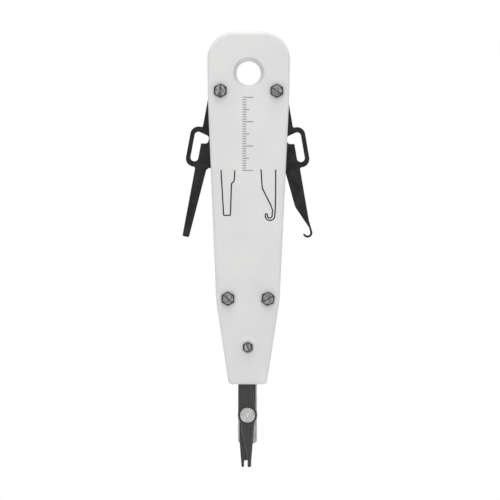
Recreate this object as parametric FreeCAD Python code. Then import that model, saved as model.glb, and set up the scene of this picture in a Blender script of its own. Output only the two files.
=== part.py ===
import FreeCAD, Part
import math
import os

# A punch down (insertion) tool for telecom terminal blocks: two moulded half shells with a
# hanging hole, a spring-loaded head with a scissor blade at the nose, and two flat tools, a
# spudger and a wire hook, that fold out of slots in the sides.
#
# The origin is the centre of the hanging hole, half way through the handle. +Z runs along the
# handle away from the tip, +X is to the right and -Y is the front face. Millimetres throughout.

# ---- handle outline, half widths and heights from the hanging hole
handle_rise = 17.0
handle_drop = 127.7
top_half = 17.15
shoulder_half = 16.65
shoulder_drop = 11.0
waist_half = 13.0
waist_above_nose = 34.2
nose_half = 7.8
top_corner_r = 11.4
shoulder_r = 150.0
waist_r = 30.0
nose_corner_r = 1.45

# ---- handle shells
handle_depth = 13.0
wall = 2.0
skin = 2.0
edge_round = 1.4
parting_bevel = 0.15
hang_r = 5.0
hang_rim = 1.5
hang_rim_deep = 2.6
hang_wall = 2.0
locator_r = 1.25
locator_depth = 2.0
locator_shares = (0.3, 0.8)

# ---- fasteners
bolt_r = 1.5
bolt_af = 5.2
bolt_head = 1.7
nut_thick = 2.4
nut_inset = 0.3
nut_bevel = 0.3
slot_wide = 0.8
slot_deep = 0.8
hex_bevel = 0.5
boss_r = 4.2
nose_bolt_r = 1.25
nose_bolt_af = 4.0
nose_bolt_head = 1.4
nose_nut_thick = 2.0
nose_pad_r = 4.7
nose_pad_top_r = 3.1
nose_pad_rise = 0.45
lower_bolt_inset = 4.8
lower_bolt_above_nose = 35.1

# ---- fold-out tools, in their own frame: u outwards from the pivot line, v down from the pivot
pivot_inset = 5.05
pivot_drop = 7.3
arm_thick = 1.6
arm_bevel = 0.2
arm_tip_gap = 23.8
arm_swing = 120.0
stowed_tilt = 2.2
spudger_rest = 10.4
spudger_edge = 4.4
hook_rest = 9.9
hook_edge = 4.05
washer_thick = 0.4
sleeve_wall = 0.6
sleeve_seat = 1.0
loop_top = 15.9
loop_out = 4.5
loop_tall = 16.7
loop_wall = 1.85
loop_corner_r = 3.4
loop_slot = 3.2
hook_wire = 0.9
hook_r = 2.0
hook_bulge = 0.6
hook_taper_share = 0.576

# ---- head
stroke = 6.0
cut_angle = 5.5
head_half = 3.88
lug_r = 4.0
blade_side_gap = 0.13
blade_thick = 1.4
web_thick = 1.0
flange_thick = 0.55
pivot_below_nose = 12.7
tip_below_pivot = 21.4
carrier_below_pivot = 11.7
carrier_above_pivot = 37.4
cam_above_pivot = 27.9
cam_bush_wall = 0.45
cam_bush_seat = 0.8
cam_bush_floor = 0.4
cam_wall = 1.2
gap_wide = 1.4
gap_deep = 2.8
prong_wide = 1.48
fork_prong_wide = 1.05
prong_tip_r = 0.55
pivot_screw_r = 1.5
pivot_screw_head_r = 2.7
pivot_screw_head = 1.7
pivot_screw_slot = 1.0
pivot_washer_r = 3.0
pivot_washer_thick = 0.5
pivot_nut_af = 5.5
pivot_nut_thick = 1.8
rivet_r = 1.0
rivet_above_pivot = 16.2

# ---- spring set
rod_r = 1.5
rod_stub_r = 0.9
rod_peen_r = 1.3
rod_peen = 0.6
ear_thick = 1.0
seat_room = 0.9
seat_lip = 0.1
seat_thick = 0.8
spring_length = 40.0
spring_wire = 0.9
spring_turns = 12
stop_thick = 2.0
stop_half = 7.5
rail_thick = 1.5
clip_r = 3.0
clip_thick = 0.6
clip_groove = 0.4
clip_mouth = 1.8
rod_above_clip = 2.4

# ---- clearances
running = 0.06
loose = 0.2
face_gap = 0.05
pocket_gap = 0.1

# ---- places that follow from the sizes above
half_depth = handle_depth / 2
floor_y = half_depth - skin
nose_z = -handle_drop
waist_z = nose_z + waist_above_nose
lower_bolt_x = waist_half - lower_bolt_inset
lower_bolt_z = nose_z + lower_bolt_above_nose
pivot_x = shoulder_half - pivot_inset
pivot_z = -pivot_drop
sleeve_r = bolt_r + sleeve_wall
arm_length = abs(lower_bolt_z - pivot_z) - arm_tip_gap
boss_face = arm_thick / 2 + face_gap + washer_thick
head_pivot_z = nose_z - pivot_below_nose
cam_z = head_pivot_z + cam_above_pivot
cutter_front = -(blade_thick + face_gap)
fork_back = blade_thick
web_back = fork_back + web_thick
blade_half = head_half - flange_thick - blade_side_gap
nut_back = half_depth - nut_inset
cam_bush_r = nose_bolt_r + cam_bush_wall
cam_boss_front = cutter_front - loose
cam_boss_back = web_back + loose
cam_bush_front = cam_boss_front - cam_bush_seat
cam_bush_back = nut_back - nose_nut_thick - cam_bush_floor
ear_z = head_pivot_z + carrier_above_pivot
seat_r = floor_y - seat_room
spring_mean_r = seat_r - seat_lip - spring_wire / 2
seat_z = ear_z + seat_thick
stop_z = seat_z + spring_length
clip_z = stop_z + stop_thick + face_gap
rod_top_z = clip_z + clip_thick + rod_above_clip
rod_reach_z = rod_top_z + stroke
cam_slot_r = cam_bush_r + running
rail_x = seat_r + 0.7
pad_face = half_depth + nose_pad_rise


def at(x, y, z):
    return FreeCAD.Vector(x, y, z)


def corner_run(corners, i):
    """How far along its edges a corner's arc reaches."""
    (px, pz, _), (x, z, r), (nx, nz, _) = corners[i - 1], corners[i], corners[(i + 1) % len(corners)]
    half = at(px - x, 0, pz - z).getAngle(at(nx - x, 0, nz - z)) / 2
    return r / math.tan(half)


def fitted(corners):
    """The corners, with an arc made smaller where it and the next one need more than their edge."""
    share = [1.0] * len(corners)
    for i in range(len(corners)):
        before = i - 1
        edge = math.hypot(corners[i][0] - corners[before][0], corners[i][1] - corners[before][1])
        needed = corner_run(corners, before) + corner_run(corners, i)
        if needed > edge:
            share[before] = min(share[before], 0.999 * edge / needed)
            share[i] = min(share[i], 0.999 * edge / needed)
    return [(x, z, r * kept) for (x, z, r), kept in zip(corners, share)]


def outline(corners, y):
    """A closed wire in the plane y from (x, z, r) corners, each rounded to its r."""
    ends = []
    corners = fitted(corners)
    for i, (x, z, r) in enumerate(corners):
        here = at(x, y, z)
        back = at(corners[i - 1][0], y, corners[i - 1][1]) - here
        on = at(corners[(i + 1) % len(corners)][0], y, corners[(i + 1) % len(corners)][1]) - here
        back.normalize()
        on.normalize()
        if r == 0:
            ends.append((here, None, here))
            continue
        half = back.getAngle(on) / 2
        run = r / math.tan(half)
        middle = back + on
        middle.normalize()
        deep = here + middle * (r / math.sin(half) - r)
        ends.append((here + back * run, deep, here + on * run))
    edges = []
    for i, (start, deep, stop) in enumerate(ends):
        before = ends[i - 1][2]
        if before.distanceToPoint(start) > 1e-4:
            edges.append(Part.LineSegment(before, start).toShape())
        if deep is not None:
            edges.append(Part.Arc(start, deep, stop).toShape())
    return Part.Wire(edges)


def plate(corners, y0, y1):
    """The outline as a flat plate between two depths."""
    return Part.Face(outline(corners, y0)).extrude(at(0, y1 - y0, 0))


def block(x0, x1, y0, y1, z0, z1):
    return Part.makeBox(x1 - x0, y1 - y0, z1 - z0, at(x0, y0, z0))


def post(x, z, r, y0, y1):
    """A round post along Y."""
    low, high = sorted((y0, y1))
    return Part.makeCylinder(r, high - low, at(x, low, z), at(0, 1, 0))


def upright(r, z0, z1):
    """A round bar along the tool's own axis."""
    return Part.makeCylinder(r, z1 - z0, at(0, 0, z0), at(0, 0, 1))


def ring(x, z, outer_r, inner_r, y0, y1):
    return post(x, z, outer_r, y0, y1).cut(post(x, z, inner_r, y0, y1))


def hexagon(x, z, across_flats, y, turn=0.0):
    """A hexagon with a point upwards, turned clockwise as seen from the front."""
    r = across_flats / math.sqrt(3)
    points = []
    for i in range(7):
        a = math.radians(60 * i + turn)
        points.append(at(x + r * math.sin(a), y, z + r * math.cos(a)))
    return Part.makePolygon(points)


def hex_post(x, z, across_flats, y0, y1, turn=0.0):
    return Part.Face(hexagon(x, z, across_flats, y0, turn)).extrude(at(0, y1 - y0, 0))


def chamfered_hex(x, z, across_flats, seat_y, face_y, bevel, turn=0.0):
    """A hexagon post whose corners are turned down to a round face, as on a bolt head or a nut."""
    long = abs(face_y - seat_y)
    face_r = across_flats / 2 - bevel
    out = at(0, 1 if face_y > seat_y else -1, 0)
    cone = Part.makeCone(face_r + long, face_r, long, at(x, seat_y, z), out)
    return hex_post(x, z, across_flats, seat_y, face_y, turn).common(cone)


def bar_across(x, z, long, wide, y0, y1, turn):
    """A straight bar centred on (x, z), turned clockwise from upright as seen from the front."""
    a = math.radians(turn)
    along = (math.sin(a) * long / 2, math.cos(a) * long / 2)
    side = (math.cos(a) * wide / 2, -math.sin(a) * wide / 2)
    corners = []
    for s, t in ((1, 1), (-1, 1), (-1, -1), (1, -1)):
        corners.append((x + s * along[0] + t * side[0], z + s * along[1] + t * side[1], 0))
    return plate(corners, y0, y1)


def edges_on(shape, y):
    """The edges that lie wholly in the plane y."""
    found = []
    for edge in shape.Edges:
        box = edge.BoundBox
        if abs(box.YMin - y) < 1e-4 and abs(box.YMax - y) < 1e-4:
            found.append(edge)
    return found


def rounded_faces(shape, planes, size):
    """The shape with the edges in these planes bevelled."""
    edges = []
    for y in planes:
        edges += edges_on(shape, y)
    return shape.makeChamfer(size, edges)


# ---------------------------------------------------------------- handle shells
def handle_corners(inset=0.0):
    """The handle's outline, moved inwards all round by inset."""
    right = [
        (top_half, handle_rise, top_corner_r),
        (shoulder_half, -shoulder_drop, shoulder_r),
        (waist_half, waist_z, waist_r),
        (nose_half, nose_z, nose_corner_r),
    ]
    corners = right + [(-x, z, r) for x, z, r in reversed(right)]
    moved = []
    count = len(corners)
    for i, (x, z, r) in enumerate(corners):
        px, pz, _ = corners[i - 1]
        nx, nz, _ = corners[(i + 1) % count]
        a = math.hypot(x - px, z - pz)
        b = math.hypot(nx - x, nz - z)
        first = ((z - pz) / a, -(x - px) / a)
        second = ((nz - z) / b, -(nx - x) / b)
        share = inset / (1 + first[0] * second[0] + first[1] * second[1])
        shift_x = share * (first[0] + second[0])
        shift_z = share * (first[1] + second[1])
        moved.append((x + shift_x, z + shift_z, max(r - inset, 0.4)))
    return moved


def arm_slot(side, edge, thick):
    """The space a fold-out tool sweeps through the side wall, from stowed to fully open."""
    gap = 2 * loose
    px = side * pivot_x
    shut = math.radians(-stowed_tilt)
    wide = math.radians(arm_swing - stowed_tilt)

    def place(angle, u, v):
        out_x, out_z = side * math.cos(angle), math.sin(angle)
        down_x, down_z = side * math.sin(angle), -math.cos(angle)
        return px + u * out_x + v * down_x, pivot_z + u * out_z + v * down_z, 0

    reach = 3 * top_half
    tip = arm_length + gap + loose
    corners = [
        place(wide, edge + gap, 0),
        place(wide, edge + gap, reach),
        place(shut, reach, reach),
        place(shut, reach, tip),
        place(shut, 0, tip),
        place(shut, -edge, 0),
    ]
    sweep = plate(corners, -thick / 2, thick / 2)
    return sweep.fuse(post(px, pivot_z, edge + gap, -thick / 2, thick / 2))


def shell_outside(side):
    """One half of the handle's outer form, rounded along its outer face."""
    body = plate(handle_corners(), 0, side * half_depth)
    body = body.makeFillet(min(edge_round, 0.9 * wall), edges_on(body, side * half_depth))
    body = body.makeChamfer(parting_bevel, edges_on(body, 0))
    return body


def shell_posts(side):
    """Bosses, the hanging hole's tube and the spring rails that stand up inside a shell."""
    floor = side * floor_y
    cam_face = cam_boss_front if side < 0 else cam_boss_back
    posts = [post(0, 0, hang_r + hang_wall, 0, floor)]
    for x in (-pivot_x, pivot_x):
        posts.append(post(x, pivot_z, boss_r, side * boss_face, floor))
    for x in (-lower_bolt_x, lower_bolt_x):
        posts.append(post(x, lower_bolt_z, boss_r, 0, floor))
    posts.append(post(0, cam_z, cam_bush_r + cam_wall, cam_face, floor))
    rail_low = ear_z + stroke + loose
    rail_high = stop_z + stop_thick + stroke
    for s in (-1, 1):
        x0, x1 = sorted((s * rail_x, s * (rail_x + rail_thick)))
        y0, y1 = sorted((side * loose, floor))
        posts.append(block(x0, x1, y0, y1, rail_low, rail_high))
    return posts


def shell(side):
    """A half shell: side is -1 for the front and +1 for the rear."""
    face = side * half_depth
    floor = side * floor_y
    body = shell_outside(side)
    body = body.cut(plate(handle_corners(wall), 0, floor))
    body = body.fuse(shell_posts(side))
    holes = [post(0, 0, hang_r, 0, face)]
    for x in (-pivot_x, pivot_x):
        holes.append(post(x, pivot_z, bolt_r + running, 0, face))
        seat = side * (boss_face + sleeve_seat)
        holes.append(post(x, pivot_z, sleeve_r, 0, seat))
        holes.append(post(x, pivot_z, boss_r, 0, side * boss_face))
    for x in (-lower_bolt_x, lower_bolt_x):
        holes.append(post(x, lower_bolt_z, bolt_r + running, 0, face))
    if side < 0:
        body = body.fuse(nose_pad())
        holes.append(post(0, cam_z, nose_bolt_r + running, 0, -pad_face))
        holes.append(post(0, cam_z, cam_bush_r, 0, cam_bush_front))
    else:
        holes.append(post(0, cam_z, nose_bolt_r + running, 0, face))
        holes.append(post(0, cam_z, cam_bush_r, 0, cam_bush_back))
        holes += nut_pockets()
    near = cutter_front - loose if side < 0 else web_back + loose
    y0, y1 = sorted((0, near))
    across = head_half + loose
    holes.append(block(-across, across, y0, y1, nose_z - 1, nose_z + wall + 1))
    y0, y1 = sorted((0, side * (floor_y - loose + pocket_gap)))
    plate_half = stop_half + pocket_gap
    holes.append(block(-plate_half, plate_half, y0, y1, stop_z - face_gap, stop_z + stop_thick + face_gap))
    slot_thick = arm_thick + 2 * loose
    for s, edge in ((-1, spudger_edge), (1, hook_edge)):
        holes.append(arm_slot(s, edge, slot_thick))
    holes.append(hang_countersink(side))
    return locators(body.cut(holes), side)


def hang_countersink(side):
    """The flared rim that leads into the hanging hole."""
    mouth = at(0, side * half_depth, 0)
    return Part.makeCone(hang_r + hang_rim, hang_r, hang_rim_deep, mouth, at(0, -side, 0))


def nose_pad():
    """The low round pad on the front shell, with sloping sides, that carries the nose bolt's head."""
    base = at(0, -half_depth, cam_z)
    pad = Part.makeCone(nose_pad_r, nose_pad_top_r, nose_pad_rise, base, at(0, -1, 0))
    pad = pad.makeFillet(nose_pad_rise / 2, edges_on(pad, -pad_face))
    return pad.fuse(post(0, cam_z, nose_pad_r, -floor_y, -half_depth))


def nut_pockets():
    """Hexagonal pockets in the rear face, one for each nut."""
    pockets = []
    for x, z, _ in bolt_places():
        pockets.append(hex_post(x, z, bolt_af + 2 * pocket_gap, nut_back - nut_thick, half_depth))
    deep = nut_back - nose_nut_thick
    pockets.append(hex_post(0, cam_z, nose_bolt_af + 2 * pocket_gap, deep, half_depth))
    return pockets


def locators(body, side):
    """Moulded pins on the front shell, and the sockets for them in the rear shell."""
    hang_low = -hang_r - hang_wall
    for share in locator_shares:
        z = hang_low + share * (rod_reach_z - hang_low)
        body = body.fuse(post(0, z, locator_r + wall / 2, 0, side * floor_y))
        if side < 0:
            body = body.fuse(post(0, z, locator_r, 0, locator_depth))
        else:
            body = body.cut(post(0, z, locator_r + running, 0, locator_depth + loose))
    return body.removeSplitter()


# ---------------------------------------------------------------- fasteners of the handle
def bolt_places():
    """Each case bolt's place, and how far its head is turned."""
    return (
        (-pivot_x, pivot_z, 0.0),
        (pivot_x, pivot_z, 0.0),
        (-lower_bolt_x, lower_bolt_z, 0.0),
        (lower_bolt_x, lower_bolt_z, 8.0),
    )


def hex_bolt(x, z, across_flats, shank_r, head, seat_y, end_y, turn, slot_turn):
    """A hexagon bolt along Y with a chamfered, slotted head on its front end."""
    front = seat_y - head
    bolt = chamfered_hex(x, z, across_flats, seat_y, front, hex_bevel, turn)
    bolt = bolt.fuse(post(x, z, shank_r, seat_y, end_y))
    cut = bar_across(x, z, 2 * across_flats, slot_wide, front - 1, front + slot_deep, slot_turn)
    return bolt.cut(cut).removeSplitter()


def case_bolt_set(which, slot_turns):
    made = []
    for (x, z, turn), slot_turn in zip(bolt_places()[which], slot_turns):
        made.append(hex_bolt(x, z, bolt_af, bolt_r, bolt_head, -half_depth, nut_back, turn, slot_turn))
    return Part.makeCompound(made)


def hex_nut(x, z, across_flats, bore_r, y0, y1):
    nut = chamfered_hex(x, z, across_flats, y0, y1, nut_bevel)
    return nut.cut(post(x, z, bore_r, y0, y1))


def case_nut_set(which):
    made = []
    for x, z, _ in bolt_places()[which]:
        made.append(hex_nut(x, z, bolt_af, bolt_r, nut_back - nut_thick, nut_back))
    return Part.makeCompound(made)


def nose_bolt():
    return hex_bolt(0, cam_z, nose_bolt_af, nose_bolt_r, nose_bolt_head, -pad_face, nut_back, 0.0, 158.0)


def nose_nut():
    return hex_nut(0, cam_z, nose_bolt_af, nose_bolt_r, nut_back - nose_nut_thick, nut_back)


def cam_bush():
    """The tube on the nose bolt that guides the head and works the cutter's slanted slot."""
    return ring(0, cam_z, cam_bush_r, nose_bolt_r + running, cam_bush_front, cam_bush_back)


def arm_sleeves():
    reach = boss_face + sleeve_seat
    made = []
    for x in (-pivot_x, pivot_x):
        made.append(ring(x, pivot_z, sleeve_r, bolt_r + running, -reach, reach))
    return Part.makeCompound(made)


def arm_washers():
    made = []
    for x in (-pivot_x, pivot_x):
        for side in (-1, 1):
            y0, y1 = sorted((side * boss_face, side * (boss_face - washer_thick)))
            made.append(ring(x, pivot_z, boss_r - loose, sleeve_r + running, y0, y1))
    return Part.makeCompound(made)


# ---------------------------------------------------------------- fold-out tools
def arm_to_world(points, side, rest):
    """Corners (u, v, r) in an arm's own frame to corners on the tool, at the rest angle."""
    a = math.radians(rest)
    placed = []
    for u, v, r in points:
        x = side * (pivot_x + u * math.cos(a) + v * math.sin(a))
        z = pivot_z + u * math.sin(a) - v * math.cos(a)
        placed.append((x, z, r))
    return placed


def arm_blank(edge, blade):
    """An arm's outline: a round root, the finger loop, then the blade's own corners."""
    loop_low = loop_top + loop_tall
    root = edge * 0.998
    return [
        (-edge, -edge, root),
        (edge, -edge, root),
        (edge, loop_top, 0.5),
        (edge + loop_out, loop_top, loop_corner_r),
        (edge + loop_out, loop_low, loop_corner_r),
        (edge, loop_low, 0.8),
    ] + blade + [(-edge, edge * 1.5, edge)]


def loop_opening(edge):
    """The finger loop's hole: a slot beside the blade that turns in under the loop's top."""
    outer = edge + loop_out - loop_wall
    inner = outer - loop_slot
    top = loop_top + loop_wall
    low = loop_top + loop_tall - loop_wall - 0.4
    end_r = loop_slot / 2 - 0.02
    return [
        (outer, top - 0.1, end_r),
        (inner - 2.9, top + 1.5, 1.35),
        (inner - 2.7, top + 4.5, 1.35),
        (inner, top + 4.8, 0.5),
        (inner, low, end_r),
        (outer, low, end_r),
    ]


def finished_arm(side, edge, rest, blade, extra=None):
    y0, y1 = -arm_thick / 2, arm_thick / 2
    arm = plate(arm_to_world(arm_blank(edge, blade), side, rest), y0, y1)
    arm = arm.cut(plate(arm_to_world(loop_opening(edge), side, rest), y0, y1))
    if extra is not None:
        arm = arm.fuse(extra).removeSplitter()
    arm = rounded_faces(arm, (y0, y1), arm_bevel)
    return arm.cut(post(side * pivot_x, pivot_z, sleeve_r + running, y0, y1))


def spudger_arm():
    """The left tool: a tapered flat blade for prying connection modules out of their frame."""
    low = loop_top + loop_tall
    blade = [
        (spudger_edge, arm_length - 0.1, 0.5),
        (spudger_edge - 2.75, arm_length, 0.6),
        (-0.3, low + 0.4, 0.5),
        (-1.2, low - 0.6, 0.6),
        (-2.6, low - 0.8, 0.5),
    ]
    return finished_arm(-1, spudger_edge, spudger_rest, blade)


def hook_arm():
    """The right tool: a tapered blade that ends in a small round hook for drawing out wires."""
    curl_u = hook_edge + hook_bulge - hook_r
    curl_v = arm_length - hook_r
    wire_u = curl_u + hook_r - hook_wire
    loop_low = loop_top + loop_tall
    taper_v = loop_low + hook_taper_share * (curl_v - loop_low)
    blade = [
        (hook_edge, curl_v - 5.0, 6.0),
        (curl_u + hook_r, curl_v, 0),
        (wire_u, curl_v, 0),
        (wire_u - 0.15, curl_v - 2.0, 1.5),
        (-0.63, taper_v, 5.0),
        (-2.3, loop_low - 0.8, 6.0),
    ]
    x, z, _ = arm_to_world([(curl_u, curl_v, 0)], 1, hook_rest)[0]
    y0, y1 = -arm_thick / 2, arm_thick / 2
    curl = ring(x, z, hook_r, hook_r - hook_wire, y0, y1)
    far = 2 * hook_r
    open_side = [
        (curl_u + far, curl_v, 0),
        (curl_u, curl_v, 0),
        (curl_u - far, curl_v + 0.5, 0),
        (curl_u - far, curl_v - far, 0),
        (curl_u + far, curl_v - far, 0),
    ]
    curl = curl.cut(plate(arm_to_world(open_side, 1, hook_rest), y0, y1))
    return finished_arm(1, hook_edge, hook_rest, blade, curl)


# ---------------------------------------------------------------- head
def cam_path(travel):
    """Where the fixed cam bush sits in the cutter's own frame after the head moves in."""
    turn = math.radians(cut_angle) * travel / stroke
    away = cam_above_pivot - travel
    return -away * math.sin(turn), away * math.cos(turn)


def cam_slot():
    """The slanted slot whose two sides follow the bush over the whole stroke."""
    travels = (-loose, stroke / 2, stroke + loose)
    step = 0.01
    left, right, middle, ways = [], [], [], []
    for travel in travels:
        x, z = cam_path(travel)
        x2, z2 = cam_path(travel + step)
        long = math.hypot(x2 - x, z2 - z)
        way = ((x2 - x) / long, (z2 - z) / long)
        middle.append((x, z))
        ways.append(way)
        left.append((x - way[1] * cam_slot_r, z + way[0] * cam_slot_r))
        right.append((x + way[1] * cam_slot_r, z - way[0] * cam_slot_r))

    def spot(point):
        return at(point[0], cutter_front - 1, head_pivot_z + point[1])

    def end(i, way_sign):
        x, z = middle[i]
        way = ways[i]
        return x + way_sign * way[0] * cam_slot_r, z + way_sign * way[1] * cam_slot_r

    edges = [
        Part.Arc(spot(left[0]), spot(left[1]), spot(left[2])).toShape(),
        Part.Arc(spot(left[2]), spot(end(2, 1)), spot(right[2])).toShape(),
        Part.Arc(spot(right[2]), spot(right[1]), spot(right[0])).toShape(),
        Part.Arc(spot(right[0]), spot(end(0, -1)), spot(left[0])).toShape(),
    ]
    return Part.Face(Part.Wire(edges)).extrude(at(0, blade_thick + 2, 0))


def rel(points):
    """Corners given from the head's pivot."""
    return [(x, head_pivot_z + z, r) for x, z, r in points]


def cutter_blade():
    """The front scissor blade: cam arm above its pivot, tapered blade and right prong below."""
    nose_rel = pivot_below_nose
    cam_low = cam_path(stroke + loose)
    arm_left = cam_low[0] - cam_slot_r - cam_wall
    arm_right = cam_slot_r + cam_wall
    arm_top = cam_above_pivot + cam_slot_r + loose + cam_wall
    shoulder = nose_rel + wall + loose
    left = -head_half
    tip = -tip_below_pivot
    prong_left = gap_wide / 2 - 0.65
    prong_right = prong_left + prong_wide
    corners = [
        (arm_left, arm_top, 1.5),
        (arm_right, arm_top, 1.5),
        (arm_right, shoulder + 4.5, 2.0),
        (1.3, shoulder - 0.6, 2.0),
        (2.45, nose_rel - 3.1, 5.0),
        (3.3, 2.0, 0),
        (2.75, -3.6, 0.5),
        (2.2, -11.5, 20.0),
        (prong_right + 0.1, tip + gap_deep, 8.0),
        (prong_right, tip, prong_tip_r),
        (prong_left, tip, prong_tip_r),
        (prong_left, tip + gap_deep + 0.8, 2.0),
        (-2.55, -6.3, 3.0),
        (-2.8, -1.5, 0),
        (left, 1.0, 0),
        (left, shoulder, 0.5),
        (arm_left, shoulder + 3.5, 1.0),
    ]
    blade = plate(rel(corners), cutter_front, -face_gap)
    blade = blade.fuse(post(0, head_pivot_z, lug_r, cutter_front, -face_gap)).removeSplitter()
    blade = rounded_faces(blade, (cutter_front,), 0.15)
    return blade.cut([cam_slot(), post(0, head_pivot_z, pivot_screw_r + running, -5, 5)])


def fork_blade():
    """The rear blade, fixed in the carrier, with the left prong."""
    top = pivot_below_nose + wall + 4.3
    tip = -tip_below_pivot
    gap_left = -gap_wide + (gap_wide / 2 - 0.65)
    corners = [
        (-blade_half, top, 0.5),
        (blade_half, top, 0.5),
        (blade_half, -1.5, 1.0),
        (2.3, -6.0, 2.0),
        (0.7, tip + gap_deep + 1.5, 1.0),
        (0.6, tip + gap_deep, 0.6),
        (gap_left, tip + gap_deep, 0.6),
        (gap_left, tip, prong_tip_r),
        (gap_left - fork_prong_wide, tip, prong_tip_r),
        (-blade_half, -11.3, 8.0),
    ]
    blade = plate(rel(corners), 0, fork_back)
    holes = [
        post(0, head_pivot_z, pivot_screw_r, 0, fork_back),
        post(0, head_pivot_z + rivet_above_pivot, rivet_r, 0, fork_back),
    ]
    return blade.cut(holes)


def head_carrier():
    """The folded steel channel that carries both blades and slides in the handle's nose."""
    low = -carrier_below_pivot
    corners = [
        (-head_half, carrier_above_pivot - ear_thick / 2, 0),
        (head_half, carrier_above_pivot - ear_thick / 2, 0),
        (head_half, low + 0.7, 0.8),
        (head_half - 1.1, low, 0.6),
        (-head_half + 1.1, low, 0.6),
        (-head_half, low + 0.7, 0.8),
    ]
    web = plate(rel(corners), fork_back, web_back)
    flange_front = 2 * face_gap
    flange_low = head_pivot_z + low + 0.7
    flange_high = head_pivot_z + pivot_below_nose + wall + 5.0
    pieces = [web]
    for s in (-1, 1):
        x0, x1 = sorted((s * head_half, s * (head_half - flange_thick)))
        pieces.append(block(x0, x1, flange_front, web_back, flange_low, flange_high))
    ear_front = -web_back
    pieces.append(block(-head_half, head_half, ear_front, web_back, ear_z - ear_thick, ear_z))
    body = pieces[0].fuse(pieces[1:])
    slot_low = cam_z - stroke - loose
    slot_high = cam_z + loose
    holes = [
        post(0, head_pivot_z, pivot_screw_r, fork_back, web_back),
        post(0, head_pivot_z + rivet_above_pivot, rivet_r, fork_back, web_back),
        post(0, slot_low, cam_slot_r, fork_back, web_back),
        post(0, slot_high, cam_slot_r, fork_back, web_back),
        block(-cam_slot_r, cam_slot_r, fork_back, web_back, slot_low, slot_high),
        upright(rod_stub_r, ear_z - ear_thick, ear_z),
    ]
    return body.cut(holes).removeSplitter()


def blade_rivet():
    """A rivet, flush in front and domed behind, that pins the fork blade to the carrier."""
    z = head_pivot_z + rivet_above_pivot
    head_r = 1.6 * rivet_r
    rise = 0.45
    dome_r = (head_r**2 + rise**2) / (2 * rise)
    ball = Part.makeSphere(dome_r, at(0, web_back + rise - dome_r, z))
    dome = ball.common(post(0, z, head_r, web_back, web_back + rise))
    return post(0, z, rivet_r, 0, web_back).fuse(dome)


def blade_pivot_screw():
    """The slotted cheese-head screw that the cutter turns on."""
    seat = cutter_front - pivot_washer_thick
    front = seat - pivot_screw_head
    end = web_back + pivot_nut_thick + 0.4
    head = post(0, head_pivot_z, pivot_screw_head_r, front, seat)
    head = head.makeFillet(0.35, edges_on(head, front))
    screw = head.fuse(post(0, head_pivot_z, pivot_screw_r, seat, end))
    long = 3 * pivot_screw_head_r
    slot = bar_across(0, head_pivot_z, long, pivot_screw_slot, front - 1, front + slot_deep, 35.0)
    return screw.cut(slot)


def blade_washer():
    y0, y1 = cutter_front - pivot_washer_thick, cutter_front - face_gap
    body = ring(0, head_pivot_z, pivot_washer_r, pivot_screw_r + running, y0, y1)
    outer = [e for e in edges_on(body, y0) if e.BoundBox.XLength > 2 * pivot_washer_r - 0.1]
    return body.makeChamfer(0.12, outer)


def blade_pivot_nut():
    return hex_nut(0, head_pivot_z, pivot_nut_af, pivot_screw_r, web_back, web_back + pivot_nut_thick)


# ---------------------------------------------------------------- spring set
def spring_rod():
    """The guide rod: peened into the carrier's ear, grooved near its top for the clip."""
    rod = upright(rod_r, ear_z, rod_top_z)
    rod = rod.makeChamfer(0.4, [e for e in rod.Edges if abs(e.BoundBox.ZMin - rod_top_z) < 1e-4])
    rod = rod.fuse(upright(rod_stub_r, ear_z - ear_thick, ear_z))
    rod = rod.fuse(upright(rod_peen_r, ear_z - ear_thick - rod_peen, ear_z - ear_thick))
    groove = upright(rod_r + 1, clip_z, clip_z + clip_thick)
    groove = groove.cut(upright(rod_r - clip_groove, clip_z, clip_z + clip_thick))
    return rod.cut(groove)


def spring_seat():
    body = upright(seat_r, ear_z, seat_z)
    return body.cut(upright(rod_r + running, ear_z, seat_z))


def main_spring():
    """The compression spring that pushes the head out of the handle."""
    wire_r = spring_wire / 2
    low = seat_z + wire_r + face_gap
    high = stop_z - wire_r - face_gap
    rise = high - low
    helix = Part.makeHelix(rise / spring_turns, rise, spring_mean_r)
    circle = Part.makeCircle(wire_r, at(spring_mean_r, 0, 0), at(0, 1, 0))
    coil = Part.Wire(helix).makePipeShell([Part.Wire(circle)], True, True)
    coil.translate(at(0, 0, low))
    return coil


def stop_plate():
    """The steel plate, held in the shells, that the spring pushes against."""
    deep = floor_y - loose
    body = block(-stop_half, stop_half, -deep, deep, stop_z, stop_z + stop_thick)
    return body.cut(upright(rod_r + running, stop_z, stop_z + stop_thick))


def retaining_clip():
    """The open ring in the rod's groove that sets how far out the spring pushes the head."""
    body = upright(clip_r, clip_z, clip_z + clip_thick)
    body = body.cut(upright(rod_r - clip_groove, clip_z, clip_z + clip_thick))
    mouth = block(-clip_mouth / 2, clip_mouth / 2, -clip_r, 0, clip_z, clip_z + clip_thick)
    return body.cut(mouth)


def all_parts():
    upper, lower = slice(0, 2), slice(2, 4)
    return {
        "front_shell": shell(-1),
        "rear_shell": shell(1),
        "arm_pivot_bolts": case_bolt_set(upper, (4.0, 120.0)),
        "arm_pivot_nuts": case_nut_set(upper),
        "arm_sleeves": arm_sleeves(),
        "arm_washers": arm_washers(),
        "case_bolts": case_bolt_set(lower, (132.0, 59.0)),
        "case_nuts": case_nut_set(lower),
        "nose_bolt": nose_bolt(),
        "nose_nut": nose_nut(),
        "cam_bush": cam_bush(),
        "spudger_arm": spudger_arm(),
        "hook_arm": hook_arm(),
        "head_carrier": head_carrier(),
        "fork_blade": fork_blade(),
        "cutter_blade": cutter_blade(),
        "blade_rivet": blade_rivet(),
        "blade_pivot_screw": blade_pivot_screw(),
        "blade_washer": blade_washer(),
        "blade_pivot_nut": blade_pivot_nut(),
        "spring_rod": spring_rod(),
        "spring_seat": spring_seat(),
        "main_spring": main_spring(),
        "stop_plate": stop_plate(),
        "retaining_clip": retaining_clip(),
    }


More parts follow.
